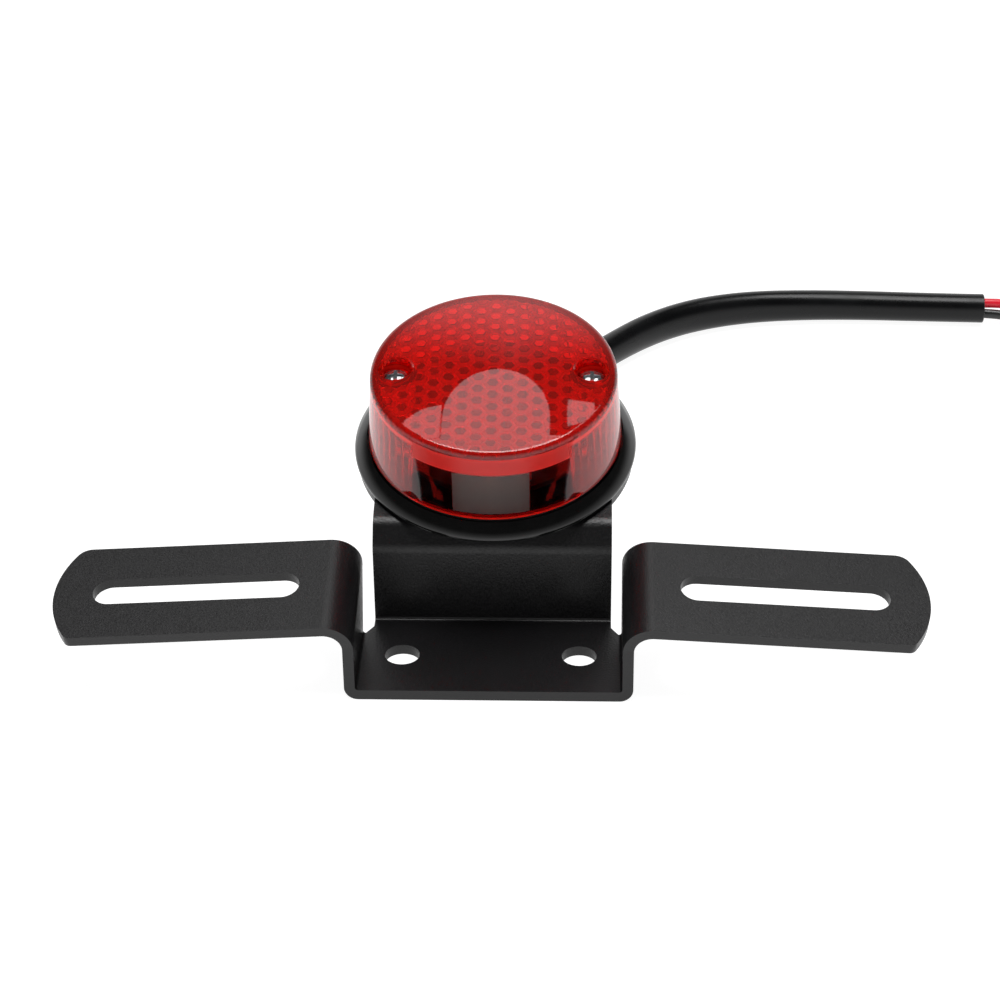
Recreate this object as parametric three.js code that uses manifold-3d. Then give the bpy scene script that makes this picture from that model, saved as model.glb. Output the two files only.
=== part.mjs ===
// Round motorcycle tail light on a bent steel number-plate bracket.
//
// Millimetres, +Z up. The origin is on the underside of the bracket's base plate, midway
// between its two mudguard bolt holes. +X runs along the number plate, +Y from the base
// plate's front edge towards the lamp.
import * as THREE from 'three';
import { mergeVertices } from 'three/addons/utils/BufferGeometryUtils.js';
import Module from 'manifold-3d';

const wasm = await Module();
wasm.setup();

// ---------------------------------------------------------------- driving dimensions
const CLEAR = 0.3;                 // gap between pieces that touch

const SHEET = 2.6;                 // bracket steel thickness
const SHARP_BEND = 0.7;            // inner radius of the base plate's bends
const SOFT_BEND = 2.0;             // inner radius of the tongue's upper bends
const WING_BEND = 4.4;             // inner radius where a riser turns into its wing

const BASE_HALF = 34.4;            // to the outer face of each riser
const BASE_FRONT = -15.5;
const RISER_REAR = 9.6;
const NOTCH_REAR = 12.6;           // relief notch, on the tongue's side
const BOLT_HOLE_X = 21.5;
const BOLT_HOLE_R = 4.25;

const RISER_TOP = 14.0;            // height of the riser's front edge, up to the wing's bend
const WING_TILT = 10.5;            // degrees, rear edge up
const WING_DROOP = 3.7;            // degrees, outer end down
const WING_DEPTH = 31.4;
const WING_TIP = 105;              // half of the bracket's width
const WING_END_R = 26.5;           // arc of the wing's outer end
const WING_REAR_ROUND = 4;         // its corners
const WING_FRONT_ROUND = 2;
const SLOT_INNER = 45.5;
const SLOT_OUTER = 95.5;
const SLOT_R = 4.3;

const TONGUE_HALF = 29.3;
const CREASE_Y = 16.0;
const WALL_TOP = 22.9;
const STEP_ANGLE = 57;             // degrees, of the short face above the wall
const STEP_LENGTH = 7.0;
const LAMP_TILT = 14;              // degrees, rear of the lamp up
const LAMP_SETBACK = 27.2;         // from the last bend to the lamp's axis
const LAMP_PLATE_R = 34.7;

const LENS_FOOT_R = 31.75;
const LENS_RIM_R = 30.5;
const LENS_FOOT_Z = 4.8;
const LENS_RIM_Z = 25.1;
const LENS_RIM_ROUND = 1.7;
const LENS_CROWN = 1.9;
const LENS_WALL = 2.2;
const LENS_CEILING = 22.4;
const WINDOW_HALF_ANGLE = 41;      // degrees, of the number-plate light window
const WINDOW_TOP = 18.3;
const WELL_X = 24.2;
const WELL_R = 4.2;
const WELL_FLOOR = 20.8;
const BOSS_R = 5.6;
const BOSS_FOOT = 10;

const HOUSING_R = 35.4;
const HOUSING_SKIRT_R = 31.6;      // inside of the rolled edge
const HOUSING_ROLL = 0.9;          // radius of its lower outer edge
const SLOPE_R = 10.7;              // crown of the slope above it
const SLOPE_CENTRE_R = 26.58;
const SLOPE_CENTRE_Z = -4.55;
const HOUSING_FOOT = 1.9;
const HOUSING_FLOOR = 3.2;
const HOUSING_LIP = 4.5;
const LENS_SEAT_R = 32.1;

const STUD_X = 14;
const STUD_R = 2.35;
const NUT_ACROSS = 8;
const NUT_HEIGHT = 4;
const WASHER_R = 5;
const WASHER_T = 1;
const SPRING_R = 4.4;
const SPRING_T = 1.3;
const CABLE_HOLE_Y = 12;
const CABLE_HOLE_R = 5.4;
const GROMMET_END = -8.2;
const GROMMET_BORE_R = 2.9;
const LEAD_R = 1.15;

const BOARD_R = 26.3;
const BOARD_Z = 7.7;
const BOARD_T = 1.6;
const BOARD_SCREW_R = 22.5;
const LED_R = 2.5;                 // 5 mm diodes
const LED_FLANGE_R = 2.9;
const LED_STRAIGHT = 5.8;          // from the board to the dome
const SELF_TAP_BORE_R = 1.95;      // bores the lens screws cut their thread in
const BOARD_BORE_R = 1.3;

const SLEEVE_R = 4.4;
const WIRE_R = 1.45;
const STRAND_R = 0.8;
const STRIPPED = 8;                // bare length at each wire's end

// ---------------------------------------------------------------- geometry helpers
const rad = THREE.MathUtils.degToRad;
const X_AXIS = new THREE.Vector3(1, 0, 0);
const Z_AXIS = new THREE.Vector3(0, 0, 1);

// A copy with shared vertices merged and empty triangles left out.
function weld(geometry) {
  const source = geometry.clone();
  source.deleteAttribute('normal');
  source.deleteAttribute('uv');
  const merged = mergeVertices(source, 1e-4);
  const index = merged.index.array;
  const kept = [];
  for (let i = 0; i < index.length; i += 3) {
    const [a, b, c] = [index[i], index[i + 1], index[i + 2]];
    if (a !== b && b !== c && c !== a) kept.push(a, b, c);
  }
  merged.setIndex(kept);
  return merged;
}

function toSolid(geometry) {
  const welded = weld(geometry);
  return new wasm.Manifold(new wasm.Mesh({
    numProp: 3,
    vertProperties: new Float32Array(welded.attributes.position.array),
    triVerts: new Uint32Array(welded.index.array),
  }));
}

function toGeometry(solid) {
  const { vertProperties, triVerts } = solid.getMesh();
  const geometry = new THREE.BufferGeometry();
  geometry.setAttribute('position', new THREE.BufferAttribute(vertProperties, 3));
  geometry.setIndex(new THREE.BufferAttribute(triVerts, 1));
  return geometry;
}

// base plus the added geometries, less the cut ones.
function combine(base, added, cut) {
  let solid = toSolid(base);
  for (const piece of added) solid = solid.add(toSolid(piece));
  for (const piece of cut) solid = solid.subtract(toSolid(piece));
  return toGeometry(solid);
}

// Turns a (radius, height) profile about +Z. The profile runs anticlockwise.
function turned(profile, segments = 48) {
  const points = profile.map(([r, z]) => new THREE.Vector2(r, z));
  return new THREE.LatheGeometry(points, segments).rotateX(Math.PI / 2);
}

function rod(radius, low, high, segments = 20) {
  return turned([[0, low], [radius, low], [radius, high], [0, high]], segments);
}

function ring(inner, outer, low, high, segments = 48) {
  return turned([[inner, low], [outer, low], [outer, high], [inner, high], [inner, low]], segments);
}

function hexPrism(acrossFlats, low, high) {
  const radius = acrossFlats / 2 / Math.cos(Math.PI / 6);
  return rod(radius, low, high, 6);
}

function box(width, depth, low, high) {
  return new THREE.BoxGeometry(width, depth, high - low).translate(0, 0, (low + high) / 2);
}

function prism(shape, low, high, curveSegments = 12) {
  const settings = { depth: high - low, bevelEnabled: false, curveSegments };
  return new THREE.ExtrudeGeometry(shape, settings).translate(0, 0, low);
}

function polygon(points) {
  return new THREE.Shape(points.map(([x, y]) => new THREE.Vector2(x, y)));
}

// Moves a geometry so that its x, y and z axes lie along the given vectors from origin.
function placed(geometry, xAxis, yAxis, zAxis, origin) {
  const matrix = new THREE.Matrix4().makeBasis(xAxis, yAxis, zAxis).setPosition(origin);
  return geometry.applyMatrix4(matrix);
}

function mirroredX(geometry) {
  const copy = weld(geometry).scale(-1, 1, 1);
  const index = copy.index.array;
  for (let i = 0; i < index.length; i += 3) [index[i], index[i + 1]] = [index[i + 1], index[i]];
  return copy;
}

// The closed outline of a bent sheet, seen end on. The corners are those of its front
// surface, the sheet lies to the right of them, and radii are its inner bend radii.
function sheetOutline(corners, radii) {
  const front = corners.map(([x, y]) => new THREE.Vector2(x, y));
  const heading = front.slice(1).map((point, i) => point.clone().sub(front[i]).normalize());
  const rightOf = (v) => new THREE.Vector2(v.y, -v.x);
  const frontSide = [front[0]];
  const backSide = [front[0].clone().addScaledVector(rightOf(heading[0]), SHEET)];
  radii.forEach((inner, i) => {
    const [before, after] = [heading[i], heading[i + 1]];
    const turn = Math.atan2(before.cross(after), before.dot(after));
    const side = Math.sign(turn);
    const frontRadius = side > 0 ? inner : inner + SHEET;
    const backRadius = side > 0 ? inner + SHEET : inner;
    const reach = frontRadius * Math.tan(Math.abs(turn) / 2);
    const start = front[i + 1].clone().addScaledVector(before, -reach);
    const centre = start.clone().addScaledVector(rightOf(before), -side * frontRadius);
    const steps = Math.ceil(Math.abs(THREE.MathUtils.radToDeg(turn)) / 8);
    for (let k = 0; k <= steps; k += 1) {
      const spoke = rightOf(before).multiplyScalar(side);
      spoke.rotateAround(new THREE.Vector2(), turn * k / steps);
      frontSide.push(centre.clone().addScaledVector(spoke, frontRadius));
      backSide.push(centre.clone().addScaledVector(spoke, backRadius));
    }
  });
  frontSide.push(front.at(-1));
  backSide.push(front.at(-1).clone().addScaledVector(rightOf(heading.at(-1)), SHEET));
  return new THREE.Shape([...backSide, ...frontSide.reverse()]);
}

// A round cord along hand-laid points.
function cord(points, radius, sides, steps) {
  const path = new THREE.CatmullRomCurve3(points.map((p) => new THREE.Vector3(...p)), false, 'centripetal');
  const corners = Array.from({ length: sides }, (_, i) => {
    const angle = 2 * Math.PI * i / sides;
    return [radius * Math.cos(angle), radius * Math.sin(angle)];
  });
  return new THREE.ExtrudeGeometry(polygon(corners), { steps, bevelEnabled: false, extrudePath: path });
}

// ---------------------------------------------------------------- the assembly
const tailLight = new THREE.Group();
const lastBend = new THREE.Vector2(
  CREASE_Y + STEP_LENGTH * Math.cos(rad(STEP_ANGLE)),
  WALL_TOP + STEP_LENGTH * Math.sin(rad(STEP_ANGLE)),
);
// The lamp's own frame: z = 0 on the lamp plate's upper face, +Z out through the lens.
const lamp = new THREE.Group();
lamp.rotation.x = rad(LAMP_TILT);
lamp.position.set(
  0,
  lastBend.x + LAMP_SETBACK * Math.cos(rad(LAMP_TILT)),
  lastBend.y + LAMP_SETBACK * Math.sin(rad(LAMP_TILT)),
);
lamp.updateMatrix();
tailLight.add(lamp);

function finish(color, roughness, metalness) {
  return new THREE.MeshStandardMaterial({ color, roughness, metalness });
}

const blackPaint = finish(0x2b2a2b, 0.5, 0.3);
const blackPlastic = finish(0x111112, 0.2, 0.0);
const blackRubber = finish(0x1a1a1a, 0.75, 0.0);
const blackSleeve = finish(0x161617, 0.4, 0.0);
const zincSteel = finish(0xb9bcc0, 0.35, 0.9);
const chromedSteel = finish(0xd7d9dc, 0.12, 1.0);
const boardGreen = finish(0x1d4a2b, 0.5, 0.0);
const redInsulation = finish(0xd0142a, 0.4, 0.0);
const blackInsulation = finish(0x141414, 0.4, 0.0);
const tinnedCopper = finish(0xc9c2b4, 0.3, 0.9);
const redLens = finish(0xb00d16, 0.08, 0.0);
redLens.transparent = true;
redLens.opacity = 0.6;
const redDiode = finish(0xc8323a, 0.15, 0.0);
const whiteDiode = finish(0xf1ead2, 0.3, 0.0);
const resistorBlue = finish(0x4f7f94, 0.5, 0.0);
const diodeBlack = finish(0x202020, 0.35, 0.0);

function addPiece(parent, name, geometry, material, x = 0, y = 0) {
  const mesh = new THREE.Mesh(weld(geometry), material);
  mesh.name = name;
  mesh.position.set(x, y, 0);
  parent.add(mesh);
}

// ---------------------------------------------------------------- bracket
// One wing on the +X side: its bent section runs rearwards and is then trimmed and slotted.
function wingSide() {
  const along = new THREE.Vector3(0, Math.cos(rad(WING_TILT)), Math.sin(rad(WING_TILT)));
  const up = new THREE.Vector3(0, -along.z, along.y);
  const start = new THREE.Vector3(0, BASE_FRONT, RISER_TOP);
  const rear = start.clone().addScaledVector(along, WING_DEPTH);

  const outer = WING_BEND + SHEET;
  const centreX = BASE_HALF + WING_BEND;
  const droop = rad(WING_DROOP);
  const endAngle = Math.PI / 2 - droop;
  const outward = X_AXIS.clone().multiplyScalar(Math.cos(droop)).addScaledVector(up, -Math.sin(droop));
  const face = new THREE.Vector3().crossVectors(outward, along);
  const root = start.clone().addScaledVector(X_AXIS, centreX).addScaledVector(face, outer);
  const runTo = (x) => (x - root.x) / outward.x;

  const length = runTo(WING_TIP) + 1;
  const tipOf = (radius) => [
    centreX + radius * Math.sin(droop) + length * Math.cos(droop),
    radius * Math.cos(droop) - length * Math.sin(droop),
  ];
  const section = new THREE.Shape();
  section.moveTo(centreX - outer, -1);
  section.lineTo(centreX - outer, 0);
  section.absarc(centreX, 0, outer, Math.PI, endAngle, true);
  section.lineTo(...tipOf(outer));
  section.lineTo(...tipOf(WING_BEND));
  section.absarc(centreX, 0, WING_BEND, endAngle, Math.PI, false);
  section.lineTo(centreX - WING_BEND, -1);
  const sheet = prism(section, 0, WING_DEPTH, 9);
  placed(sheet, X_AXIS, up, along.clone().negate(), rear);

  const cutter = (shape) => placed(prism(shape, -SHEET - 1, 1), outward, along, face, root);
  const slot = cutter(slotOutline(runTo(SLOT_INNER), runTo(SLOT_OUTER)));
  const offcut = cutter(endOutline(runTo(WING_TIP)));
  return { added: [sheet], cut: [slot, offcut] };
}

// What is trimmed off to leave the wing's arched end and its rounded corners.
function endOutline(end) {
  const middle = WING_DEPTH / 2;
  const over = 2;
  const centre = end - WING_END_R;
  const square = Math.PI / 2 - 0.08;
  const reachOf = (round) => Math.sqrt((WING_END_R - round) ** 2 - (middle - round) ** 2);
  const angleOf = (round) => Math.atan2(middle - round, reachOf(round));
  const rearX = centre + reachOf(WING_REAR_ROUND);
  const frontX = centre + reachOf(WING_FRONT_ROUND);
  const rearAngle = angleOf(WING_REAR_ROUND);
  const frontAngle = angleOf(WING_FRONT_ROUND);
  const outline = new THREE.Shape();
  outline.moveTo(frontX, -over);
  outline.lineTo(end + over, -over);
  outline.lineTo(end + over, WING_DEPTH + over);
  outline.lineTo(rearX, WING_DEPTH + over);
  const rounds = [
    [rearX, WING_DEPTH - WING_REAR_ROUND, WING_REAR_ROUND, square, rearAngle],
    [centre, middle, WING_END_R, rearAngle, -frontAngle],
    [frontX, WING_FRONT_ROUND, WING_FRONT_ROUND, -frontAngle, -square],
  ];
  for (const [x, y, radius, from, to] of rounds) outline.absarc(x, y, radius, from, to, true);
  return outline;
}

// The round-ended slot for a number plate's bolt.
function slotOutline(inner, outer) {
  const middle = WING_DEPTH / 2;
  const outline = new THREE.Shape();
  outline.absarc(outer - SLOT_R, middle, SLOT_R, -Math.PI / 2, Math.PI / 2, false);
  outline.absarc(inner + SLOT_R, middle, SLOT_R, Math.PI / 2, Math.PI * 1.5, false);
  return outline;
}

function riserSide() {
  const outer = SHARP_BEND + SHEET;
  const arc = new THREE.Shape();
  arc.absarc(BASE_HALF - outer, outer, outer, -Math.PI / 2, 0, false);
  arc.absarc(BASE_HALF - outer, outer, SHARP_BEND, 0, -Math.PI / 2, true);
  const bend = prism(arc, 0, RISER_REAR - BASE_FRONT, 8);
  const down = new THREE.Vector3(0, -1, 0);
  placed(bend, X_AXIS, Z_AXIS, down, new THREE.Vector3(0, RISER_REAR, 0));

  const run = WING_DEPTH * Math.cos(rad(WING_TILT));
  const rise = WING_DEPTH * Math.sin(rad(WING_TILT));
  const side = polygon([
    [BASE_FRONT, outer - 0.01],
    [RISER_REAR, outer - 0.01],
    [BASE_FRONT + run, RISER_TOP + rise],
    [BASE_FRONT, RISER_TOP],
  ]);
  const web = prism(side, BASE_HALF - SHEET, BASE_HALF);
  placed(web, new THREE.Vector3(0, 1, 0), Z_AXIS, X_AXIS, new THREE.Vector3());
  return [bend, web];
}

function basePlate() {
  const inner = BASE_HALF - SHARP_BEND - SHEET + 0.01;
  return prism(polygon([
    [-inner, BASE_FRONT], [inner, BASE_FRONT], [inner, RISER_REAR], [TONGUE_HALF, NOTCH_REAR],
    [-TONGUE_HALF, NOTCH_REAR], [-inner, RISER_REAR],
  ]), 0, SHEET);
}

function tongue() {
  const lampAngle = rad(LAMP_TILT);
  const outline = sheetOutline([
    [NOTCH_REAR - 0.8, SHEET],
    [CREASE_Y, SHEET],
    [CREASE_Y, WALL_TOP],
    [lastBend.x, lastBend.y],
    [lastBend.x + 4 * Math.cos(lampAngle), lastBend.y + 4 * Math.sin(lampAngle)],
  ], [SHARP_BEND, SOFT_BEND, SOFT_BEND]);
  const strip = prism(outline, -TONGUE_HALF, TONGUE_HALF);
  return placed(strip, new THREE.Vector3(0, 1, 0), Z_AXIS, X_AXIS, new THREE.Vector3());
}

function lampPlate() {
  const shoulder = Math.sqrt(LAMP_PLATE_R ** 2 - TONGUE_HALF ** 2);
  const reach = Math.atan2(-shoulder, TONGUE_HALF);
  const outline = new THREE.Shape();
  outline.moveTo(-TONGUE_HALF, 3.5 - LAMP_SETBACK);
  outline.lineTo(TONGUE_HALF, 3.5 - LAMP_SETBACK);
  outline.absarc(0, 0, LAMP_PLATE_R, reach, Math.PI - reach, false);
  return prism(outline, -SHEET, 0, 40).applyMatrix4(lamp.matrix);
}

function bracket() {
  const wing = wingSide();
  const sides = [...wing.added, ...riserSide()];
  const added = [...sides, ...sides.map(mirroredX), tongue(), lampPlate()];
  const cuts = [...wing.cut, ...wing.cut.map(mirroredX)];
  for (const side of [-1, 1]) {
    cuts.push(rod(BOLT_HOLE_R, -1, SHEET + 1, 32).translate(side * BOLT_HOLE_X, 0, 0));
    const studHole = rod(STUD_R + CLEAR, -SHEET - 1, 1).translate(side * STUD_X, 0, 0);
    cuts.push(studHole.applyMatrix4(lamp.matrix));
  }
  const cableHole = rod(CABLE_HOLE_R, -SHEET - 1, 1).translate(0, CABLE_HOLE_Y, 0);
  cuts.push(cableHole.applyMatrix4(lamp.matrix));
  return combine(basePlate(), added, cuts);
}

addPiece(tailLight, 'bracket', bracket(), blackPaint);

// ---------------------------------------------------------------- lamp base
addPiece(lamp, 'base_gasket', ring(22, HOUSING_SKIRT_R - 0.6, CLEAR, HOUSING_FOOT - CLEAR, 48), blackRubber);

// A dished floor inside a rolled edge, which slopes up to the lens and stays just clear of
// the bracket. The slope is slightly crowned.
function housingShell() {
  const profile = [
    [0, HOUSING_FOOT], [HOUSING_SKIRT_R, HOUSING_FOOT], [HOUSING_SKIRT_R + 0.3, CLEAR + 0.3],
    [HOUSING_SKIRT_R + 0.8, CLEAR],
  ];
  for (let angle = -90; angle < 36; angle += 30) {
    profile.push([
      HOUSING_R - HOUSING_ROLL + HOUSING_ROLL * Math.cos(rad(angle)),
      CLEAR + HOUSING_ROLL + HOUSING_ROLL * Math.sin(rad(angle)),
    ]);
  }
  for (const angle of [36, 43, 50.5, 58]) {
    profile.push([
      SLOPE_CENTRE_R + SLOPE_R * Math.cos(rad(angle)),
      SLOPE_CENTRE_Z + SLOPE_R * Math.sin(rad(angle)),
    ]);
  }
  profile.push([LENS_SEAT_R, HOUSING_LIP - 0.1], [LENS_SEAT_R, HOUSING_FLOOR], [0, HOUSING_FLOOR]);
  return turned(profile, 60);
}

const boardScrewSpots = [90, 210, 330].map((angle) => [
  BOARD_SCREW_R * Math.cos(rad(angle)),
  BOARD_SCREW_R * Math.sin(rad(angle)),
]);

function housing() {
  const pillarTop = BOSS_FOOT - CLEAR;
  const postTop = BOARD_Z - CLEAR;
  const sunk = HOUSING_FLOOR - 0.3;
  const added = [];
  const cuts = [rod(CABLE_HOLE_R, 1, 4).translate(0, CABLE_HOLE_Y, 0)];
  for (const side of [-1, 1]) {
    added.push(rod(3.7, sunk, pillarTop).translate(side * WELL_X, 0, 0));
    cuts.push(rod(SELF_TAP_BORE_R, 3.9, 12).translate(side * WELL_X, 0, 0));
    cuts.push(rod(STUD_R + CLEAR, 1, 4).translate(side * STUD_X, 0, 0));
  }
  for (const [x, y] of boardScrewSpots) {
    added.push(rod(3, sunk, postTop).translate(x, y, 0));
    cuts.push(rod(BOARD_BORE_R, 4, 9, 12).translate(x, y, 0));
  }
  return combine(housingShell(), added, cuts);
}

addPiece(lamp, 'lamp_housing', housing(), blackPlastic);
addPiece(lamp, 'lens_seal', ring(28.9, 31.5, HOUSING_FLOOR + CLEAR, LENS_FOOT_Z - CLEAR, 48), blackRubber);

// ---------------------------------------------------------------- lens
function lensOutside() {
  const profile = [[0, LENS_FOOT_Z], [LENS_FOOT_R, LENS_FOOT_Z]];
  const roundCentre = [LENS_RIM_R - LENS_RIM_ROUND, LENS_RIM_Z - LENS_RIM_ROUND];
  for (let angle = 0; angle <= 66; angle += 22) {
    profile.push([
      roundCentre[0] + LENS_RIM_ROUND * Math.cos(rad(angle)),
      roundCentre[1] + LENS_RIM_ROUND * Math.sin(rad(angle)),
    ]);
  }
  const crownSteps = 4;
  for (let i = crownSteps - 1; i >= 0; i -= 1) {
    const share = i / crownSteps;
    profile.push([roundCentre[0] * share, LENS_RIM_Z + LENS_CROWN * (1 - share ** 2)]);
  }
  return turned(profile, 60);
}

function windowPocket() {
  const [near, far] = [rad(-90 - WINDOW_HALF_ANGLE), rad(-90 + WINDOW_HALF_ANGLE)];
  const sector = new THREE.Shape();
  sector.absarc(0, 0, LENS_FOOT_R - 1.6, near, far, false);
  sector.absarc(0, 0, LENS_FOOT_R - LENS_WALL - 1.5, far, near, true);
  return prism(sector, LENS_FOOT_Z - 1, WINDOW_TOP, 14);
}

function lens() {
  const cavity = turned([
    [0, LENS_FOOT_Z - 1], [LENS_FOOT_R - LENS_WALL, LENS_FOOT_Z - 1],
    [LENS_RIM_R - LENS_WALL, LENS_CEILING], [0, LENS_CEILING],
  ], 60);
  const wells = [];
  const bosses = [];
  for (const side of [-1, 1]) {
    bosses.push(rod(BOSS_R, BOSS_FOOT, LENS_CEILING + 1, 24).translate(side * WELL_X, 0, 0));
    wells.push(rod(WELL_R, WELL_FLOOR, LENS_RIM_Z + 4, 24).translate(side * WELL_X, 0, 0));
    wells.push(rod(SELF_TAP_BORE_R, LENS_FOOT_Z, WELL_FLOOR + 1).translate(side * WELL_X, 0, 0));
  }
  const hollow = combine(cavity, [windowPocket()], bosses);
  return combine(lensOutside(), [], [hollow, ...wells]);
}

addPiece(lamp, 'lens', lens(), redLens);

// A pan-head screw with a cross recess, point down.
function crossScrew(shank, head, headHeight, seat, tip, segments) {
  const body = turned([
    [0, tip], [shank, tip + 1.5 * shank], [shank, seat], [head, seat],
    [head * 0.96, seat + headHeight * 0.5], [head * 0.7, seat + headHeight * 0.9],
    [0, seat + headHeight],
  ], segments);
  const recess = [0.28 * head, 1.25 * head];
  const floor = seat + headHeight * 0.35;
  const top = seat + headHeight + 1;
  return combine(body, [], [box(recess[0], recess[1], floor, top), box(recess[1], recess[0], floor, top)]);
}

for (const [side, word] of [[-1, 'left'], [1, 'right']]) {
  const screw = crossScrew(1.6, 3.4, 2.3, WELL_FLOOR + CLEAR, 4.5, 24);
  addPiece(lamp, `lens_screw_${word}`, screw, chromedSteel, side * WELL_X);
}

// ---------------------------------------------------------------- light board
const boardTop = BOARD_Z + BOARD_T;

function board() {
  const cuts = [];
  for (const side of [-1, 1]) {
    cuts.push(rod(6, BOARD_Z - 1, boardTop + 1).translate(side * WELL_X, 0, 0));
  }
  for (const [x, y] of boardScrewSpots) {
    cuts.push(rod(BOARD_BORE_R, BOARD_Z - 1, boardTop + 1, 12).translate(x, y, 0));
  }
  return combine(rod(BOARD_R, BOARD_Z, boardTop, 48), [], cuts);
}

addPiece(lamp, 'led_board', board(), boardGreen);
boardScrewSpots.forEach(([x, y], i) => {
  const screw = crossScrew(0.95, 2.3, 1.6, boardTop + CLEAR, 4.4, 12);
  addPiece(lamp, `board_screw_${i + 1}`, screw, zincSteel, x, y);
});

// A round 5 mm light-emitting diode standing on the board.
function roundLed() {
  const foot = boardTop + CLEAR;
  const profile = [[0, foot], [LED_FLANGE_R, foot], [LED_FLANGE_R, foot + 1], [LED_R, foot + 1]];
  for (let angle = 0; angle <= 90; angle += 30) {
    profile.push([LED_R * Math.cos(rad(angle)), foot + LED_STRAIGHT + LED_R * Math.sin(rad(angle))]);
  }
  profile[profile.length - 1][0] = 0;
  return turned(profile, 12);
}

const ledRings = [{ count: 8, radius: 16.5, first: 22.5 }, { count: 4, radius: 7, first: 45 }];
let ledNumber = 0;
for (const { count, radius, first } of ledRings) {
  for (let i = 0; i < count; i += 1) {
    const angle = rad(first + 360 * i / count);
    ledNumber += 1;
    const name = `red_led_${String(ledNumber).padStart(2, '0')}`;
    addPiece(lamp, name, roundLed(), redDiode, radius * Math.cos(angle), radius * Math.sin(angle));
  }
}

[-8, 0, 8].forEach((x, i) => {
  const chip = box(3.5, 2.8, boardTop + CLEAR, boardTop + CLEAR + 1.9);
  addPiece(lamp, `plate_led_${i + 1}`, chip, whiteDiode, x, x === 0 ? -22.5 : -21.5);
});

// A lying barrel-shaped component under the board.
function barrel(radius, length) {
  const end = length / 2;
  const profile = [
    [0, -end], [radius, -end], [radius, -end + 1.2], [radius * 0.85, -end + 1.6],
    [radius * 0.85, end - 1.6], [radius, end - 1.2], [radius, end], [0, end],
  ];
  const lift = BOARD_Z - CLEAR - radius;
  return turned(profile, 12).rotateY(Math.PI / 2).translate(0, 0, lift);
}

addPiece(lamp, 'resistor_left', barrel(1.2, 6.5), resistorBlue, -7, -9);
addPiece(lamp, 'resistor_right', barrel(1.2, 6.5), resistorBlue, 7, -9);
addPiece(lamp, 'polarity_diode', barrel(1.3, 5.2), diodeBlack, 0, -14);

// ---------------------------------------------------------------- lamp fasteners
const washerTop = -SHEET - CLEAR;
const springTop = washerTop - WASHER_T - CLEAR;
const nutTop = springTop - SPRING_T - CLEAR;
const nutBore = STUD_R + CLEAR;

function stud() {
  const head = hexPrism(NUT_ACROSS, HOUSING_FLOOR + CLEAR, HOUSING_FLOOR + CLEAR + 3.2);
  const tip = nutTop - NUT_HEIGHT - 2.2;
  const shank = turned([[0, tip], [STUD_R - 0.5, tip], [STUD_R, tip + 0.5], [STUD_R, 5], [0, 5]], 20);
  return combine(head, [shank], []);
}

function springWasher() {
  const coil = ring(nutBore, SPRING_R, springTop - SPRING_T, springTop, 28);
  return combine(coil, [], [box(4, 0.8, springTop - 2, springTop + 1).translate(3.6, 0, 0)]);
}

function nut() {
  const foot = nutTop - NUT_HEIGHT;
  const round = turned([[0, foot], [3.9, foot], [4.75, foot + 0.5], [4.75, nutTop], [0, nutTop]], 24);
  const blank = toSolid(hexPrism(NUT_ACROSS, foot, nutTop)).intersect(toSolid(round));
  return combine(toGeometry(blank), [], [rod(nutBore, foot - 1, nutTop + 1)]);
}

for (const [side, word] of [[-1, 'left'], [1, 'right']]) {
  const x = side * STUD_X;
  addPiece(lamp, `mounting_stud_${word}`, stud(), zincSteel, x);
  addPiece(lamp, `flat_washer_${word}`, ring(nutBore, WASHER_R, washerTop - WASHER_T, washerTop, 28), zincSteel, x);
  addPiece(lamp, `spring_washer_${word}`, springWasher(), zincSteel, x);
  addPiece(lamp, `nut_${word}`, nut(), zincSteel, x);
}

// ---------------------------------------------------------------- cable
function grommet() {
  const neck = CABLE_HOLE_R - CLEAR;
  return turned([
    [GROMMET_BORE_R, GROMMET_END], [5.2, GROMMET_END], [5.9, GROMMET_END + 2.5], [7.6, washerTop - 1.6],
    [7.6, washerTop], [neck, washerTop], [neck, HOUSING_FLOOR + CLEAR],
    [6.8, HOUSING_FLOOR + CLEAR], [6.4, HOUSING_FLOOR + 1.5], [GROMMET_BORE_R, HOUSING_FLOOR + 1.5],
    [GROMMET_BORE_R, GROMMET_END],
  ], 24);
}

addPiece(lamp, 'cable_grommet', grommet(), blackRubber, 0, CABLE_HOLE_Y);
const leads = [['board_lead_red', -1.4, redInsulation], ['board_lead_black', 1.4, blackInsulation]];
for (const [name, x, material] of leads) {
  addPiece(lamp, name, rod(LEAD_R, GROMMET_END + 0.3, BOARD_Z - CLEAR, 12), material, x, CABLE_HOLE_Y);
}

const sleeveStart = new THREE.Vector3(0, CABLE_HOLE_Y, GROMMET_END - CLEAR).applyMatrix4(lamp.matrix);
const sleevePoints = [
  sleeveStart.toArray(),
  [0, 61.3, 24.0],
  [0.2, 64.6, 17.2],
  [0.6, 70.2, 11.1],
  [1.2, 78.0, 6.8],
  [2.2, 88.0, 4.8],
  [3.8, 99.0, 4.4],
  [6.4, 112.0, 4.4],
  [10.4, 126.0, 4.4],
  [15.8, 139.0, 4.4],
  [22.6, 151.6, 4.4],
  [31.0, 163.0, 4.4],
  [40.6, 173.6, 4.4],
  [51.0, 181.8, 4.4],
  [62.6, 187.6, 4.4],
  [76.0, 191.4, 4.4],
  [92.0, 193.2, 4.4],
  [108.0, 193.4, 4.4],
  [124.0, 192.8, 4.4],
  [136.0, 192.3, 4.4],
  [144.6, 192.0, 4.4],
];
addPiece(tailLight, 'cable_sleeve', cord(sleevePoints, SLEEVE_R, 10, 34), blackSleeve);

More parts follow.
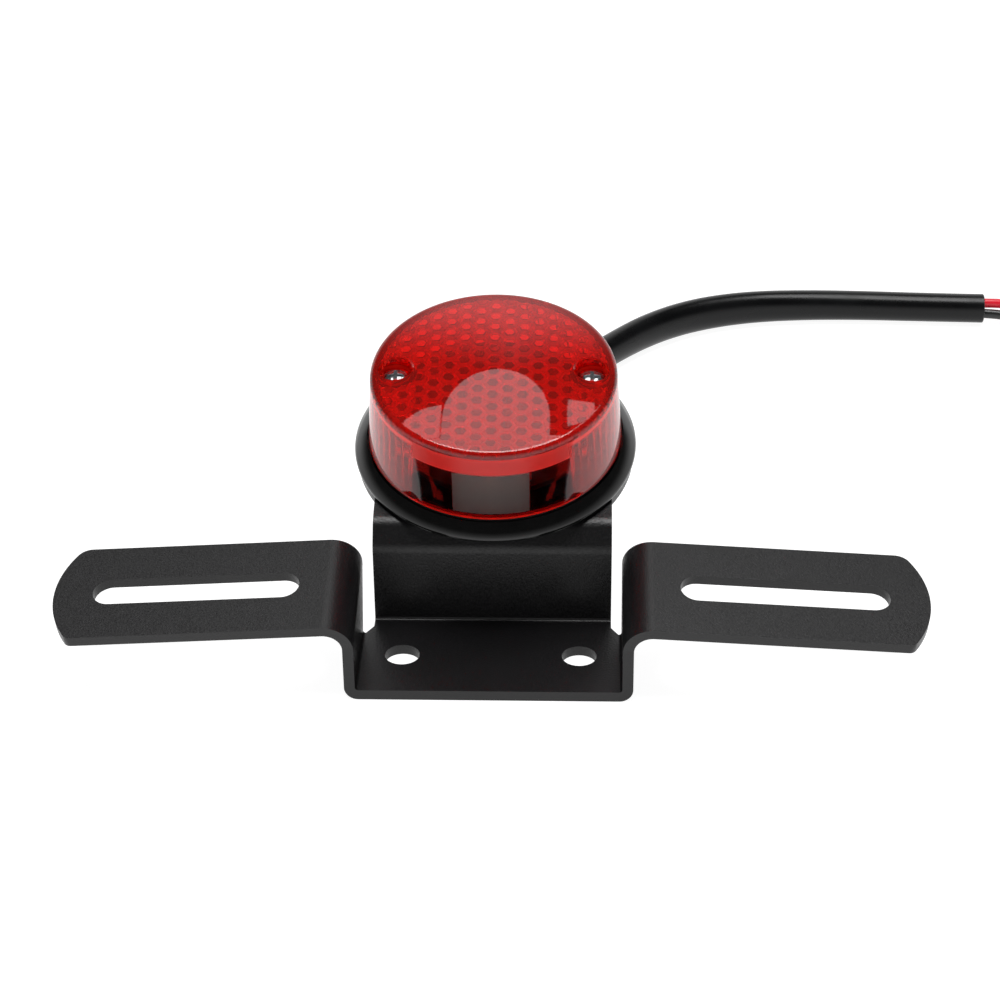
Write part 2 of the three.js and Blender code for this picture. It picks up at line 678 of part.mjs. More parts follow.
const redWire = [
  [144.9, 193.2, 5.6], [150.0, 193.3, 5.4], [157.0, 193.4, 4.4], [166.0, 192.8, 2.6],
  [176.0, 190.6, 1.6], [186.0, 186.2, 1.5], [194.6, 179.4, 1.5], [200.6, 170.6, 1.5],
  [203.4, 160.4, 1.5], [203.4, 150.0, 1.5], [201.6, 141.0, 1.5],
];
const blackWire = [
  [144.9, 190.9, 3.2], [150.0, 190.3, 3.0], [157.0, 188.8, 2.2], [165.0, 185.6, 1.5],
  [172.6, 180.6, 1.5], [178.6, 173.8, 1.5], [182.6, 165.6, 1.5], [184.4, 156.4, 1.5],
  [184.0, 147.0, 1.5], [182.0, 138.0, 1.5], [179.0, 130.0, 1.5],
];

// A stripped end that carries on straight from the insulation.
function strippedEnd(points) {
  const [before, last] = points.slice(-2).map((p) => new THREE.Vector3(...p));
  const heading = last.clone().sub(before).normalize();
  const start = last.clone().addScaledVector(heading, CLEAR);
  const end = last.clone().addScaledVector(heading, STRIPPED);
  return cord([start.toArray(), end.toArray()], STRAND_R, 8, 1);
}

for (const [word, points, material] of [
  ['red', redWire, redInsulation],
  ['black', blackWire, blackInsulation],
]) {
  addPiece(tailLight, `wire_${word}`, cord(points, WIRE_R, 8, 18), material);
  addPiece(tailLight, `wire_end_${word}`, strippedEnd(points), tinnedCopper);
}

export default tailLight;
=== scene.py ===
# Looks for a round tail light on a bent steel number-plate bracket, in metres, +Z up.
# The CAD frame gives every piece's place. A piece here either stands for a CAD node, or is the
# CAD node's own mesh with a better surface.
import math

import bmesh
import bpy
from mathutils import Matrix, Vector


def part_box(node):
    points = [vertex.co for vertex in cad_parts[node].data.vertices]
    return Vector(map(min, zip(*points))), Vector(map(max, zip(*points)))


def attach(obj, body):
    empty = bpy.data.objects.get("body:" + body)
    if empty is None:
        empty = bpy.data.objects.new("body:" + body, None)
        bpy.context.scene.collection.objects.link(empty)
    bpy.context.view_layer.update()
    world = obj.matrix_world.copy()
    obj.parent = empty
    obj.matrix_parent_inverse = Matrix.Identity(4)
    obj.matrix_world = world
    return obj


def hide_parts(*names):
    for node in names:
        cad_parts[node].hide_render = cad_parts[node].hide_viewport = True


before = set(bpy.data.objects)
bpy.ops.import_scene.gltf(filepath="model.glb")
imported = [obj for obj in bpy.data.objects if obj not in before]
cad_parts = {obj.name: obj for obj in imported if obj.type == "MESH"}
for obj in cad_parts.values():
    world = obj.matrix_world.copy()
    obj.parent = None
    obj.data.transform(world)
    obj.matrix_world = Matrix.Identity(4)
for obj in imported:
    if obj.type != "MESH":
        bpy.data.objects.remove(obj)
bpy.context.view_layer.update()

MM = 0.001
BODY = "root"

# ---------------------------------------------------------------- driving dimensions, in mm
CREASE_Y = 16.0
WALL_TOP = 22.9
STEP_ANGLE = math.radians(57)
STEP_LENGTH = 7.0
LAMP_TILT = math.radians(14)
LAMP_SETBACK = 27.2

LENS_FOOT_R = 31.75
LENS_RIM_R = 30.5
LENS_FOOT_Z = 4.8
LENS_RIM_Z = 25.1
LENS_RIM_ROUND = 1.7
LENS_CROWN = 1.9
LENS_WALL = 2.2
LENS_CEILING = 22.4
WINDOW_HALF_ANGLE = 41
WINDOW_TOP = 18.3
CELL_PITCH = 4.2                   # of the honeycomb inside the lens
CELL_DEPTH = 1.1
CLARITY_SPAN = 30                  # of heights, for how clear the lens is
TOP_CLARITY = 0.78
RIB_CLARITY = 0.1
SIDE_CLARITY = 0.86
BAND_CLARITY = 0.45                # over the window
WELL_X = 24.2
WELL_R = 4.2
WELL_FLOOR = 20.8
BOSS_R = 5.6
BOSS_FOOT = 10
POCKET_R = LENS_FOOT_R - 1.6       # of the thinner wall behind the window
FLUTE = 0.32                       # depth of the side wall's upright flutes
FLUTE_ANGLE = 5                    # degrees
CELL_TAPER = 0.5                   # a cell's flat top, as a share of its mouth
FIELD_HALF = 9.3                   # the clear field in the middle of the window
FIELD_LOW = 6.6
FIELD_HIGH = 18.4
FIELD_COLOUR = (0.60, 0.42, 0.38)
FIELD_CLARITY = 0.965
MATT = 0.34                        # roughness of the field and of the band over the window
WINDOW_FRONT = LENS_FOOT_R * math.cos(math.radians(WINDOW_HALF_ANGLE))

HOUSING_R = 35.4
HOUSING_SKIRT_R = 31.6
HOUSING_ROLL = 0.9
SLOPE_R = 10.7
SLOPE_CENTRE = (26.58, -4.55)
HOUSING_FOOT = 1.9
HOUSING_LIP = 4.5
HOUSING_FLOOR = 3.2
POST_SINK = 0.3                    # how far the posts reach into the floor
LENS_POST_R = 3.7
BOARD_POST_R = 3
SELF_TAP_BORE_R = 1.95             # bores the lens screws cut their thread in
BOARD_BORE_R = 1.3
LENS_SEAT_R = 32.1
STUD_X = 14
STUD_R = 2.35
CABLE_HOLE_Y = 12
CABLE_HOLE_R = 5.4
GROMMET_END = -8.2
CLEAR = 0.3
BOARD_Z = 7.7
BOARD_T = 1.6
BOARD_SCREW_R = 22.5
LED_R = 2.5                        # 5 mm diodes
LED_FLANGE_R = 2.9
LED_STRAIGHT = 5.8                 # from the board to the dome
LED_COUNT = 12
PLATE_LED_COUNT = 3

SLEEVE_R = 4.4
SLEEVE_WALL = 0.9
SLEEVE_BORE_DEPTH = 7              # of the hollow at its cut end
SWELL = 0.16                       # how much taller than wide the sleeve is, at most
SWELL_AT = 155
SWELL_REACH = 40
WIRE_R = 1.45
STRAND_R = 0.8
STRIPPED = 8                       # bare length at each wire's end

# ---------------------------------------------------------------- light, in metres
TABLE_GLOW = 0.93
TABLE_REACH = 6
BOX_HEIGHT = 0.9
BOX_RADIANCE = 2.2
SUN_ENERGY = 2.8
SUN_SPREAD = 36                    # degrees
SUN_LEAN = -4
SKY_LOW = 1.0
SKY_HIGH = 0.05
SKY_FADE = (0.12, 0.5)             # heights between which the sky dims
SKY_REAR_SHARE = 0.7               # how much higher up the bright part reaches straight behind

last_bend_y = CREASE_Y + STEP_LENGTH * math.cos(STEP_ANGLE)
last_bend_z = WALL_TOP + STEP_LENGTH * math.sin(STEP_ANGLE)
# The lamp's own frame, in metres: z = 0 on the plate under it, +Z out through the lens.
LAMP = Matrix.Translation((
    0,
    (last_bend_y + LAMP_SETBACK * math.cos(LAMP_TILT)) * MM,
    (last_bend_z + LAMP_SETBACK * math.sin(LAMP_TILT)) * MM,
)) @ Matrix.Rotation(LAMP_TILT, 4, "X")


# ---------------------------------------------------------------- camera
CAMERA_ELEVATION = math.radians(30)
CAMERA_TURN = math.radians(-2.2)
CAMERA_ROLL = math.radians(-0.72)
CAMERA_DISTANCE = 0.6139
CAMERA_AIM = Vector((0.0018, 0.0245, 0.03205))
CAMERA_LENS = 90


def add_camera():
    level = math.cos(CAMERA_ELEVATION)
    forward = Vector((
        math.sin(CAMERA_TURN) * level,
        math.cos(CAMERA_TURN) * level,
        -math.sin(CAMERA_ELEVATION),
    ))
    right = forward.cross(Vector((0, 0, 1))).normalized()
    up = right.cross(forward)
    turn = Matrix((right, up, -forward)).transposed().to_4x4()
    data = bpy.data.cameras.new("camera")
    data.lens = CAMERA_LENS
    data.sensor_width = 36
    camera = bpy.data.objects.new("camera", data)
    place = Matrix.Translation(CAMERA_AIM - forward * CAMERA_DISTANCE)
    camera.matrix_world = place @ turn @ Matrix.Rotation(CAMERA_ROLL, 4, "Z")
    bpy.context.scene.collection.objects.link(camera)
    bpy.context.scene.camera = camera


add_camera()


# ---------------------------------------------------------------- mesh helpers
def add_mesh(name, verts, faces):
    """A new object from points in metres."""
    mesh = bpy.data.meshes.new(name)
    mesh.from_pydata([tuple(v) for v in verts], [], faces)
    mesh.update()
    obj = bpy.data.objects.new(name, mesh)
    bpy.context.scene.collection.objects.link(obj)
    return obj


def add_to_lamp(name, verts, faces):
    """A new object from points in mm in the lamp's own frame."""
    return add_mesh(name, [LAMP @ (Vector(v) * MM) for v in verts], faces)


def lathe(name, profile, segments=96, at=(0, 0)):
    """Turns a (radius, height) profile in mm, anticlockwise, about the lamp's +Z through at."""
    verts = []
    rows = []
    for r, z in profile:
        if r < 1e-6:
            rows.append([len(verts)])
            verts.append((at[0], at[1], z))
            continue
        row = []
        for k in range(segments):
            angle = 2 * math.pi * k / segments
            row.append(len(verts))
            verts.append((at[0] + r * math.cos(angle), at[1] + r * math.sin(angle), z))
        rows.append(row)
    faces = []
    pairs = list(zip(rows, rows[1:]))
    if profile[0][0] > 1e-6:
        pairs.append((rows[-1], rows[0]))
    for low, high in pairs:
        for k in range(segments):
            n = (k + 1) % segments
            corners = [low[k % len(low)], low[n % len(low)], high[n % len(high)], high[k % len(high)]]
            face = list(dict.fromkeys(corners))
            if len(face) > 2:
                faces.append(face)
    return add_to_lamp(name, verts, faces)


def arc(centre, radius, first, last, steps):
    """Points along an arc in a profile, angles in degrees."""
    points = []
    for i in range(steps + 1):
        angle = math.radians(first + (last - first) * i / steps)
        points.append((centre[0] + radius * math.cos(angle), centre[1] + radius * math.sin(angle)))
    return points


def rod(name, radius, low, high, at=(0, 0), segments=48):
    return lathe(name, [(0, low), (radius, low), (radius, high), (0, high)], segments, at)


def brick(name, size, low, high, at=(0, 0)):
    """A box in mm that stands from low to high in the lamp's frame."""
    x, y = size[0] / 2, size[1] / 2
    verts = [(at[0] + i * x, at[1] + j * y, z) for z in (low, high) for j in (-1, 1) for i in (-1, 1)]
    faces = [(0, 2, 3, 1), (4, 5, 7, 6), (0, 1, 5, 4), (2, 6, 7, 3), (0, 4, 6, 2), (1, 3, 7, 5)]
    return add_to_lamp(name, verts, faces)


def bake_modifiers(obj):
    """Turns what the modifiers make into the object's own mesh."""
    depsgraph = bpy.context.evaluated_depsgraph_get()
    mesh = bpy.data.meshes.new_from_object(obj.evaluated_get(depsgraph), depsgraph=depsgraph)
    obj.modifiers.clear()
    old = obj.data
    obj.data = mesh
    bpy.data.meshes.remove(old)


def combine(obj, others, operation):
    """Joins, cuts or keeps what is common with other closed meshes, which are used up."""
    for other in others:
        modifier = obj.modifiers.new("solid", "BOOLEAN")
        modifier.operation = operation
        modifier.solver = "MANIFOLD"
        modifier.object = other
    bake_modifiers(obj)
    for other in others:
        bpy.data.objects.remove(other)
    return obj


def tidy_faces(obj):
    """Merges doubled points and joins the flat triangles that booleans leave."""
    work = bmesh.new()
    work.from_mesh(obj.data)
    bmesh.ops.remove_doubles(work, verts=work.verts, dist=0.002 * MM)
    bmesh.ops.dissolve_limit(
        work, angle_limit=math.radians(0.5), verts=work.verts, edges=work.edges
    )
    work.to_mesh(obj.data)
    work.free()


def soften(obj, width, angle=30, segments=3):
    """Rounds the edges by width in mm and shades the faces smoothly."""
    tidy_faces(obj)
    bevel = obj.modifiers.new("edges", "BEVEL")
    bevel.width = width * MM
    bevel.segments = segments
    bevel.limit_method = "ANGLE"
    bevel.angle_limit = math.radians(angle)
    bevel.use_clamp_overlap = True
    bevel.miter_outer = "MITER_ARC"
    bake_modifiers(obj)
    shade(obj, 50)
    flatten = obj.modifiers.new("flat_faces", "WEIGHTED_NORMAL")
    flatten.weight = 80
    flatten.keep_sharp = True
    bake_modifiers(obj)
    return obj


def shade(obj, angle=30):
    obj.data.shade_smooth()
    obj.data.set_sharp_from_angle(angle=math.radians(angle))
    return obj


def copy_of(node, name=None):
    """A new piece from a CAD node's mesh."""
    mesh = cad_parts[node].data.copy()
    obj = bpy.data.objects.new(name or f"{node}_fine", mesh)
    bpy.context.scene.collection.objects.link(obj)
    return obj


def settle(obj, nodes, material):
    """Puts a finished piece on the body in place of its CAD nodes."""
    obj.data.materials.clear()
    obj.data.materials.append(material)
    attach(obj, BODY)
    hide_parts(*nodes)
    return obj


# ---------------------------------------------------------------- material helpers
def grey(value):
    return (value, value, value)


def new_material(name, **values):
    """A material with its constants on the shader's own sockets."""
    material = bpy.data.materials.new(name)
    material.use_nodes = True
    shader = material.node_tree.nodes["Principled BSDF"]
    for key, value in values.items():
        socket = shader.inputs[key.replace("_", " ").title().replace("Ior", "IOR")]
        socket.default_value = (*value, 1) if isinstance(value, tuple) else value
    return material


def nodes_of(material):
    tree = material.node_tree
    return tree, tree.nodes["Principled BSDF"]


def add_noise(material, scale, detail=2.0, roughness=0.5, stretch=(1, 1, 1)):
    """Noise that stands still on the object. Scale is in features per metre."""
    tree, _ = nodes_of(material)
    place = tree.nodes.new("ShaderNodeTexCoord")
    mapping = tree.nodes.new("ShaderNodeMapping")
    mapping.inputs["Scale"].default_value = stretch
    texture = tree.nodes.new("ShaderNodeTexNoise")
    texture.inputs["Scale"].default_value = scale
    texture.inputs["Detail"].default_value = detail
    texture.inputs["Roughness"].default_value = roughness
    tree.links.new(place.outputs["Object"], mapping.inputs["Vector"])
    tree.links.new(mapping.outputs["Vector"], texture.inputs["Vector"])
    return texture.outputs["Fac"]


def ramp(material, source, stops):
    """A colour ramp from (position, colour) stops."""
    tree, _ = nodes_of(material)
    node = tree.nodes.new("ShaderNodeValToRGB")
    elements = node.color_ramp.elements
    while len(elements) < len(stops):
        elements.new(0.5)
    for element, (position, colour) in zip(elements, stops):
        element.position = position
        element.color = (*colour, 1)
    tree.links.new(source, node.inputs["Fac"])
    return node.outputs["Color"]


def between(tree, source, first, last, low=0.0, high=1.0):
    """Maps first..last of a source to low..high, and holds the ends."""
    node = tree.nodes.new("ShaderNodeMapRange")
    node.inputs["From Min"].default_value = first
    node.inputs["From Max"].default_value = last
    node.inputs["To Min"].default_value = low
    node.inputs["To Max"].default_value = high
    tree.links.new(source, node.inputs["Value"])
    return node.outputs["Result"]


def calculate(tree, operation, *values):
    """A math node's result, from sockets and plain numbers."""
    node = tree.nodes.new("ShaderNodeMath")
    node.operation = operation
    for socket, value in zip(node.inputs, values):
        if isinstance(value, (int, float)):
            socket.default_value = value
        else:
            tree.links.new(value, socket)
    return node.outputs["Value"]


def spread(material, source, low, high):
    """Maps a noise's middle range to low..high."""
    return between(nodes_of(material)[0], source, 0.3, 0.7, low, high)


def bump(material, source, height, strength=1.0, normal=None):
    """Bump of the given height in mm."""
    tree, _ = nodes_of(material)
    node = tree.nodes.new("ShaderNodeBump")
    node.inputs["Strength"].default_value = strength
    node.inputs["Distance"].default_value = height * MM
    tree.links.new(source, node.inputs["Height"])
    if normal is not None:
        tree.links.new(normal, node.inputs["Normal"])
    return node.outputs["Normal"]


def connect(material, **sources):
    tree, shader = nodes_of(material)
    for key, source in sources.items():
        tree.links.new(source, shader.inputs[key.replace("_", " ").title()])


# ---------------------------------------------------------------- materials
def powder_coat():
    """Satin black powder coat with a fine orange-peel grain."""
    m = new_material("powder_coat", specular_ior_level=0.42)
    cloud = add_noise(m, 90, 3)
    grain = add_noise(m, 1900, 2, 0.6)
    speckle = [(0.3, (0.0036, 0.0034, 0.0038)), (0.7, (0.0054, 0.005, 0.0058))]
    connect(m, base_color=ramp(m, cloud, speckle))
    connect(m, roughness=spread(m, grain, 0.3, 0.44))
    connect(m, normal=bump(m, grain, 0.06, 1.0, bump(m, cloud, 0.05, 0.3)))
    return m


def gloss_black():
    """Black moulded plastic with a faint flow texture."""
    m = new_material("gloss_black", specular_ior_level=0.5)
    flow = add_noise(m, 260, 3)
    connect(m, base_color=ramp(m, flow, [(0.3, grey(0.003)), (0.7, grey(0.0045))]))
    connect(m, roughness=spread(m, flow, 0.06, 0.1))
    connect(m, normal=bump(m, flow, 0.02, 0.4))
    return m


def red_plastic():
    """Red acrylic, cloudy in the honeycomb's ribs and matt in the band over the window.

    The middle of the window is a clear, matt field.
    """
    m = new_material("red_acrylic", ior=1.49, specular_ior_level=0.5)
    tree, _ = nodes_of(m)
    place = tree.nodes.new("ShaderNodeTexCoord")
    lamp_frame = tree.nodes.new("ShaderNodeMapping")
    lamp_frame.vector_type = "TEXTURE"
    lamp_frame.inputs["Location"].default_value = LAMP.translation
    lamp_frame.inputs["Rotation"].default_value = (LAMP_TILT, 0, 0)
    split = tree.nodes.new("ShaderNodeSeparateXYZ")
    tree.links.new(place.outputs["Object"], lamp_frame.inputs["Vector"])
    tree.links.new(lamp_frame.outputs["Vector"], split.inputs["Vector"])
    height = between(tree, split.outputs["Z"], 0, CLARITY_SPAN * MM)
    aside = calculate(tree, "ABSOLUTE", split.outputs["X"])

    def by_height(levels):
        return ramp(m, height, [(z / CLARITY_SPAN, grey(level)) for z, level in levels])

    def times(first, second):
        return calculate(tree, "MULTIPLY", first, second)

    # Masks: the front, the band over the window, and the clear field in the window's middle.
    fade = 0.6
    nearest, furthest = -(WINDOW_FRONT + fade) * MM, -(WINDOW_FRONT - fade) * MM
    front = between(tree, split.outputs["Y"], nearest, furthest, 1, 0)
    wall_top = LENS_RIM_Z - LENS_RIM_ROUND
    band = [(0, 0), (WINDOW_TOP + 0.2, 0), (WINDOW_TOP + 0.4, 1), (wall_top, 1), (wall_top + 0.3, 0)]
    band = times(by_height(band), front)
    edge = 0.15
    field = [(0, 0), (FIELD_LOW, 0), (FIELD_LOW + edge, 1), (FIELD_HIGH - edge, 1), (FIELD_HIGH, 0)]
    middle = between(tree, aside, (FIELD_HALF - 0.1) * MM, (FIELD_HALF + 0.1) * MM, 1, 0)
    field = times(times(by_height(field), middle), front)

    flow = add_noise(m, 120, 2)
    red = ramp(m, flow, [(0.3, (0.90, 0.016, 0.010)), (0.7, (0.95, 0.024, 0.014))])
    colour = tree.nodes.new("ShaderNodeMixRGB")
    colour.inputs["Color2"].default_value = (*FIELD_COLOUR, 1)
    tree.links.new(field, colour.inputs["Fac"])
    tree.links.new(red, colour.inputs["Color1"])
    connect(m, base_color=colour.outputs["Color"])
    matt = times(calculate(tree, "MAXIMUM", band, field), MATT)
    connect(m, roughness=calculate(tree, "ADD", spread(m, flow, 0.01, 0.03), matt))
    connect(m, normal=bump(m, flow, 0.02, 0.25))

    cell_top = LENS_CEILING + CELL_DEPTH
    top = [(cell_top - 0.35, RIB_CLARITY), (cell_top - 0.05, 1.0)]
    top += [(cell_top + 0.9, 1.0), (cell_top + 1.4, TOP_CLARITY)]
    side = [(0, SIDE_CLARITY), (LENS_CEILING - 0.8, SIDE_CLARITY), (LENS_CEILING, RIB_CLARITY)] + top
    window = [(0, BAND_CLARITY), (LENS_FOOT_Z + 0.6, BAND_CLARITY), (LENS_FOOT_Z + 0.9, 1.0)]
    window += [(WINDOW_TOP + 0.2, 1.0), (WINDOW_TOP + 0.4, BAND_CLARITY)]
    window += [(LENS_CEILING + 0.2, BAND_CLARITY)] + top
    clarity = tree.nodes.new("ShaderNodeMix")
    clarity.data_type = "FLOAT"
    tree.links.new(front, clarity.inputs["Factor"])
    tree.links.new(by_height(side), clarity.inputs["A"])
    tree.links.new(by_height(window), clarity.inputs["B"])
    haze = times(field, 1 - FIELD_CLARITY)
    connect(m, transmission_weight=calculate(tree, "SUBTRACT", clarity.outputs["Result"], haze))
    return m


def rubber():
    m = new_material("black_rubber", specular_ior_level=0.35)
    grain = add_noise(m, 900, 3)
    connect(m, base_color=ramp(m, grain, [(0.3, (0.010, 0.010, 0.010)), (0.7, (0.018, 0.018, 0.017))]))
    connect(m, roughness=spread(m, grain, 0.6, 0.8))
    connect(m, normal=bump(m, grain, 0.05, 0.6))
    return m


def vinyl(name, dark, light, rough, gloss=0.5):
    """Soft vinyl, as on a sleeve or a wire."""
    m = new_material(name, specular_ior_level=gloss)
    cloud = add_noise(m, 60, 3)
    grain = add_noise(m, 1500, 2)
    connect(m, base_color=ramp(m, cloud, [(0.3, dark), (0.7, light)]))
    connect(m, roughness=spread(m, cloud, rough - 0.05, rough + 0.08))
    connect(m, normal=bump(m, grain, 0.012, 0.6, bump(m, cloud, 0.15, 0.5)))
    return m


def plated(name, dark, light, rough):
    """Zinc or chrome plate with faint handling marks."""
    m = new_material(name, metallic=1.0)
    cloud = add_noise(m, 500, 4)
    marks = add_noise(m, 900, 2, 0.5, (1, 1, 12))
    connect(m, base_color=ramp(m, cloud, [(0.3, dark), (0.7, light)]))
    connect(m, roughness=spread(m, marks, rough * 0.7, rough * 1.4))
    connect(m, normal=bump(m, marks, 0.006, 0.5))
    return m


def solder_mask():
    """Dark green solder mask over copper tracks."""
    m = new_material("solder_mask", roughness=0.3)
    tree, _ = nodes_of(m)
    place = tree.nodes.new("ShaderNodeTexCoord")
    tracks = tree.nodes.new("ShaderNodeTexBrick")
    tracks.inputs["Scale"].default_value = 110
    tracks.inputs["Mortar Size"].default_value = 0.09
    tracks.inputs["Color1"].default_value = (0.010, 0.060, 0.018, 1)
    tracks.inputs["Color2"].default_value = (0.013, 0.075, 0.022, 1)
    tracks.inputs["Mortar"].default_value = (0.005, 0.032, 0.010, 1)
    tree.links.new(place.outputs["Object"], tracks.inputs["Vector"])
    connect(m, base_color=tracks.outputs["Color"])
    connect(m, normal=bump(m, tracks.outputs["Fac"], 0.04, 0.5))
    return m


def diode_epoxy():
    """Clear red epoxy of the light-emitting diodes."""
    m = new_material("red_epoxy", coat_weight=0.6, coat_roughness=0.05)
    cloud = add_noise(m, 700, 2)
    connect(m, base_color=ramp(m, cloud, [(0.3, (0.22, 0.004, 0.004)), (0.7, (0.36, 0.012, 0.012))]))
    connect(m, roughness=spread(m, cloud, 0.08, 0.16))
    return m


def phosphor():
    m = new_material("phosphor", roughness=0.5)
    cloud = add_noise(m, 800, 2)
    connect(m, base_color=ramp(m, cloud, [(0.35, (0.22, 0.19, 0.08)), (0.65, (0.30, 0.27, 0.14))]))
    return m


def banded(name, body, bands):
    """Lacquer with coloured bands along X, each from (start, end, colour) in mm."""
    m = new_material(name, roughness=0.4)
    tree, _ = nodes_of(m)
    place = tree.nodes.new("ShaderNodeTexCoord")
    split = tree.nodes.new("ShaderNodeSeparateXYZ")
    tree.links.new(place.outputs["Generated"], split.inputs["Vector"])
    stops = [(0.0, body)]
    for start, end, colour in bands:
        stops += [(start, colour), (end, body)]
    colour = ramp(m, split.outputs["X"], stops)
    colour.node.color_ramp.interpolation = "CONSTANT"
    connect(m, base_color=colour)
    connect(m, roughness=spread(m, add_noise(m, 900), 0.35, 0.5))
    return m


def tinned():
    m = new_material("tinned_copper", metallic=1.0)
    grain = add_noise(m, 1200, 3)
    connect(m, base_color=ramp(m, grain, [(0.3, (0.62, 0.54, 0.44)), (0.7, (0.78, 0.74, 0.68))]))
    connect(m, roughness=spread(m, grain, 0.2, 0.38))
    return m


COAT = powder_coat()
GLOSS_BLACK = gloss_black()
RED = red_plastic()
RUBBER = rubber()
SLEEVE = vinyl("sleeve_vinyl", (0.003, 0.0032, 0.0036), (0.0045, 0.0047, 0.0052), 0.26, 0.26)
RED_VINYL = vinyl("red_vinyl", (0.85, 0.005, 0.026), (0.95, 0.010, 0.034), 0.3)
BLACK_VINYL = vinyl("black_vinyl", grey(0.008), grey(0.014), 0.3)
CHROME = plated("chrome_plate", (0.66, 0.67, 0.69), (0.84, 0.85, 0.87), 0.1)
ZINC = plated("zinc_plate", (0.5, 0.51, 0.53), (0.68, 0.69, 0.7), 0.3)
MASK = solder_mask()
EPOXY = diode_epoxy()
PHOSPHOR = phosphor()
TINNED = tinned()


# ---------------------------------------------------------------- cords
SLEEVE_START = LAMP @ (Vector((0, CABLE_HOLE_Y, GROMMET_END - CLEAR)) * MM)
SLEEVE_ROUTE = [SLEEVE_START] + [Vector(p) for p in (
    (0, 0.0613, 0.0240),
    (0.0002, 0.0646, 0.0172),
    (0.0006, 0.0702, 0.0111),
    (0.0012, 0.0780, 0.0068),
    (0.0022, 0.0880, 0.0048),
    (0.0038, 0.0990, 0.0044),
    (0.0064, 0.1120, 0.0044),
    (0.0104, 0.1260, 0.0044),
    (0.0158, 0.1390, 0.0044),
    (0.0226, 0.1516, 0.0044),
    (0.0310, 0.1630, 0.0044),
    (0.0406, 0.1736, 0.0044),
    (0.0510, 0.1818, 0.0044),
    (0.0626, 0.1876, 0.0044),
    (0.0760, 0.1914, 0.0044),
    (0.0920, 0.1932, 0.0044),
    (0.1080, 0.1934, 0.0044),
    (0.1240, 0.1928, 0.0044),
    (0.1360, 0.1923, 0.0044),
    (0.1446, 0.1920, 0.0044),
)]
RED_ROUTE = [Vector(p) for p in (
    (0.1449, 0.1932, 0.0056), (0.1500, 0.1933, 0.0054), (0.1570, 0.1934, 0.0044),
    (0.1660, 0.1928, 0.0026), (0.1760, 0.1906, 0.0016), (0.1860, 0.1862, 0.0015),
    (0.1946, 0.1794, 0.0015), (0.2006, 0.1706, 0.0015), (0.2034, 0.1604, 0.0015),
    (0.2034, 0.1500, 0.0015), (0.2016, 0.1410, 0.0015),
)]
BLACK_ROUTE = [Vector(p) for p in (
    (0.1449, 0.1909, 0.0032), (0.1500, 0.1903, 0.0030), (0.1570, 0.1888, 0.0022),
    (0.1650, 0.1856, 0.0015), (0.1726, 0.1806, 0.0015), (0.1786, 0.1738, 0.0015),
    (0.1826, 0.1656, 0.0015), (0.1844, 0.1564, 0.0015), (0.1840, 0.1470, 0.0015),
    (0.1820, 0.1380, 0.0015), (0.1790, 0.1300, 0.0015),
)]


class Route:
    """A smooth curve through points, with a frame that doesn't twist along it."""

    def __init__(self, points, steps=12):
        ends = [points[0] * 2 - points[1]] + points + [points[-1] * 2 - points[-2]]
        self.points = []
        for p0, p1, p2, p3 in zip(ends, ends[1:], ends[2:], ends[3:]):
            for i in range(steps):
                t = i / steps
                self.points.append(0.5 * (
                    2 * p1 + (p2 - p0) * t + (2 * p0 - 5 * p1 + 4 * p2 - p3) * t * t
                    + (3 * p1 - p0 - 3 * p2 + p3) * t ** 3
                ))
        self.points.append(points[-1].copy())
        self.lengths = [0.0]
        for a, b in zip(self.points, self.points[1:]):
            self.lengths.append(self.lengths[-1] + (b - a).length)
        self.length = self.lengths[-1]
        self.frames = []
        side = Vector((1, 0, 0))
        for i in range(len(self.points)):
            low, high = max(i - 1, 0), min(i + 1, len(self.points) - 1)
            heading = (self.points[high] - self.points[low]).normalized()
            side = (side - heading * side.dot(heading)).normalized()
            self.frames.append((heading, side, heading.cross(side)))

    def at(self, distance):
        """The point and frame at a distance along the route."""
        i = 0
        while i < len(self.lengths) - 2 and self.lengths[i + 1] < distance:
            i += 1
        span = self.lengths[i + 1] - self.lengths[i]
        t = (distance - self.lengths[i]) / span
        a, b = self.frames[i], self.frames[i + 1]
        point = self.points[i].lerp(self.points[i + 1], t)
        return point, [u.lerp(v, t).normalized() for u, v in zip(a, b)]


def tube(name, route, stations, sides=32, swell=None):
    """A closed tube through stations of (distance, radius) along a route, both in metres.

    swell gives how much taller than wide it is at a distance. It grows upwards from its underside.
    """
    verts = []
    faces = []
    for distance, radius in stations:
        point, (_, side, up) = route.at(distance)
        growth = swell(distance) if swell else 0
        for k in range(sides):
            angle = 2 * math.pi * k / sides
            offset = side * (radius * math.cos(angle)) + up * (radius * math.sin(angle))
            offset.z += growth * (offset.z + radius)
            verts.append(point + offset)
    for i in range(len(stations) - 1):
        for k in range(sides):
            n = (k + 1) % sides
            faces.append((i * sides + k, i * sides + n, (i + 1) * sides + n, (i + 1) * sides + k))
    last = (len(stations) - 1) * sides
    faces.append(tuple(range(sides - 1, -1, -1)))
    faces.append(tuple(range(last, last + sides)))
    return shade(add_mesh(name, verts, faces), 40)


def sleeve_swell(distance):
    return SWELL * math.exp(-(((distance - SWELL_AT * MM) / (SWELL_REACH * MM)) ** 2))


